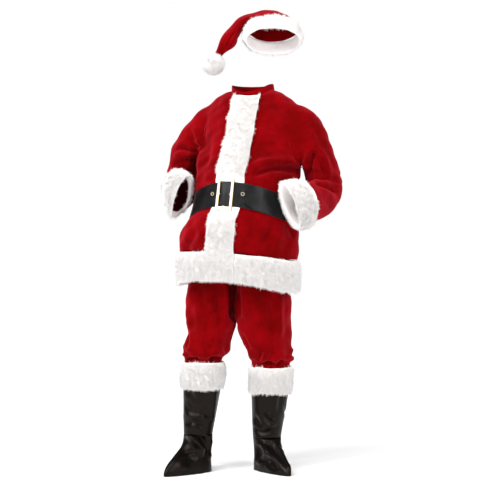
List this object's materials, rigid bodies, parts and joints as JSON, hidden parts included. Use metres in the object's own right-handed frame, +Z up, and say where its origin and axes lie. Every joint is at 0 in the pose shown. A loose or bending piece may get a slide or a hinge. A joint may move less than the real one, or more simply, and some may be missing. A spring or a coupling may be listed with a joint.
{
  "type": "santa suit",
  "caption": "Santa suit held in a worn pose: red plush jacket and trousers with white fur bands, black belt with a gilt buckle, boot covers and a floppy hat with a pompom.",
  "frame": {"origin": "centre of the neck opening, 1.505 m above the floor", "axes": "+X to the wearer's left, -Y to the wearer's front, +Z up"},
  "size_m": [0.7304, 0.4417, 1.8225],
  "materials": {
    "red_plush": "short napped polyester plush, soft sheen",
    "white_fur": "faux fur, long soft pile",
    "black_leather": "satin imitation leather",
    "black_vinyl": "glossy creased vinyl",
    "gilt_metal": "polished gilt",
    "black_elastic": "matt woven elastic"
  },
  "bodies": {
    "root": {"belt_buckle": "gilt_metal", "belt_eyelet_left": "gilt_metal", "belt_eyelet_right": "gilt_metal", "belt_strap": "black_leather", "boot_elastic_left": "black_elastic", "boot_elastic_right": "black_elastic", "boot_fur_left": "white_fur", "boot_fur_right": "white_fur", "boot_shaft_left": "black_vinyl", "boot_shaft_right": "black_vinyl", "boot_vamp_left": "black_vinyl", "boot_vamp_right": "black_vinyl", "hat_brim_fur": "white_fur", "hat_crown_back": "red_plush", "hat_crown_front": "red_plush", "hat_pompom": "white_fur", "jacket_back": "red_plush", "jacket_cuff_fur_left": "white_fur", "jacket_cuff_fur_right": "white_fur", "jacket_front_left": "red_plush", "jacket_front_right": "red_plush", "jacket_hem_fur": "white_fur", "jacket_neckband": "red_plush", "jacket_placket_fur": "white_fur", "jacket_sleeve_left": "red_plush", "jacket_sleeve_right": "red_plush", "trouser_leg_left": "red_plush", "trouser_leg_right": "red_plush", "trouser_waistband": "red_plush"}
  },
  "joints": []
}
